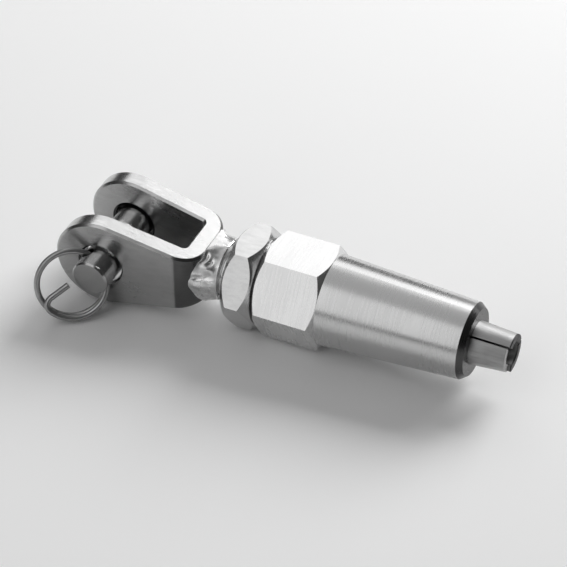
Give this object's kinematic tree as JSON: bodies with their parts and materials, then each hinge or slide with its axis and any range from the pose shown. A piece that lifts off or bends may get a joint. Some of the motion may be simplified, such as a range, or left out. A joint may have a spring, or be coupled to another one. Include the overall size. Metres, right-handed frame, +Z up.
{
  "type": "wire rope fork terminal",
  "caption": "Swageless fork terminal for wire rope: bent fork with a clevis pin and split ring, threaded stud, lock nut and tapered body sleeve with grip jaws.",
  "frame": {"origin": "where the clevis pin's axis crosses the terminal's axis, midway between the fork's arms", "axes": "+X along the terminal's axis towards the rope end, +Y along the clevis pin towards its head, +Z up, square to both"},
  "size_m": [0.1217, 0.0405, 0.0255],
  "materials": {
    "yoke_steel": "polished strap with a fine grain",
    "weld_metal": "lumpy, shiny weld",
    "stud_steel": "bright thread",
    "pin_steel": "turned and polished",
    "wire_steel": "drawn wire",
    "bright_steel": "milled and polished",
    "turned_steel": "satin, with fine turning lines",
    "jaw_steel": "satin, brushed along",
    "ring_steel": "plain"
  },
  "bodies": {
    "fork": {"fork_yoke": "yoke_steel", "threaded_stud": "stud_steel", "weld_bead": "weld_metal"},
    "clevis_pin": {"clevis_pin": "pin_steel"},
    "cotter_ring": {"cotter_ring": "wire_steel"},
    "lock_nut": {"lock_nut": "bright_steel"},
    "jaw_ring": {"jaw_retaining_ring": "ring_steel"},
    "body_sleeve": {"body_sleeve": "turned_steel"},
    "jaw_top": {"jaw_top": "jaw_steel"},
    "jaw_front": {"jaw_front": "jaw_steel"},
    "jaw_rear": {"jaw_rear": "jaw_steel"}
  },
  "joints": [
    {"name": "pin_turn", "type": "hinge", "parent": "fork", "child": "clevis_pin", "pos_m": [0, 0, 0], "axis": [0, 1, 0], "continuous": true},
    {"name": "ring_swing", "type": "hinge", "parent": "clevis_pin", "child": "cotter_ring", "pos_m": [0, -0.013, 0], "axis": [-0.5888, 0, 0.8083], "range_deg": [-8, 125]},
    {"name": "lock_nut_turn", "type": "hinge", "parent": "fork", "child": "lock_nut", "pos_m": [0.0377, 0, 0], "axis": [1, 0, 0], "range_deg": [-360, 0]},
    {"name": "sleeve_turn", "type": "hinge", "parent": "fork", "child": "jaw_ring", "pos_m": [0, 0, 0], "axis": [1, 0, 0], "range_deg": [0, 1440.1]},
    {"name": "sleeve_travel", "type": "slide", "parent": "jaw_ring", "child": "body_sleeve", "axis": [1, 0, 0], "range_m": [0, 0.008]},
    {"name": "jaw_top_open", "type": "slide", "parent": "jaw_ring", "child": "jaw_top", "axis": [0, 0.4083, 0.9128], "range_m": [0, 0.0005674]},
    {"name": "jaw_front_open", "type": "slide", "parent": "jaw_ring", "child": "jaw_front", "axis": [0, -0.9947, -0.1028], "range_m": [0, 0.0005674]},
    {"name": "jaw_rear_open", "type": "slide", "parent": "jaw_ring", "child": "jaw_rear", "axis": [0, 0.5864, -0.81], "range_m": [0, 0.0005674]}
  ],
  "couplings": [
    {"joint": "sleeve_turn", "follows": "sleeve_travel", "rad_per_m": 3141.6},
    {"joint": "jaw_top_open", "follows": "sleeve_travel", "ratio": 0.0708},
    {"joint": "jaw_front_open", "follows": "sleeve_travel", "ratio": 0.0708},
    {"joint": "jaw_rear_open", "follows": "sleeve_travel", "ratio": 0.0708}
  ]
}
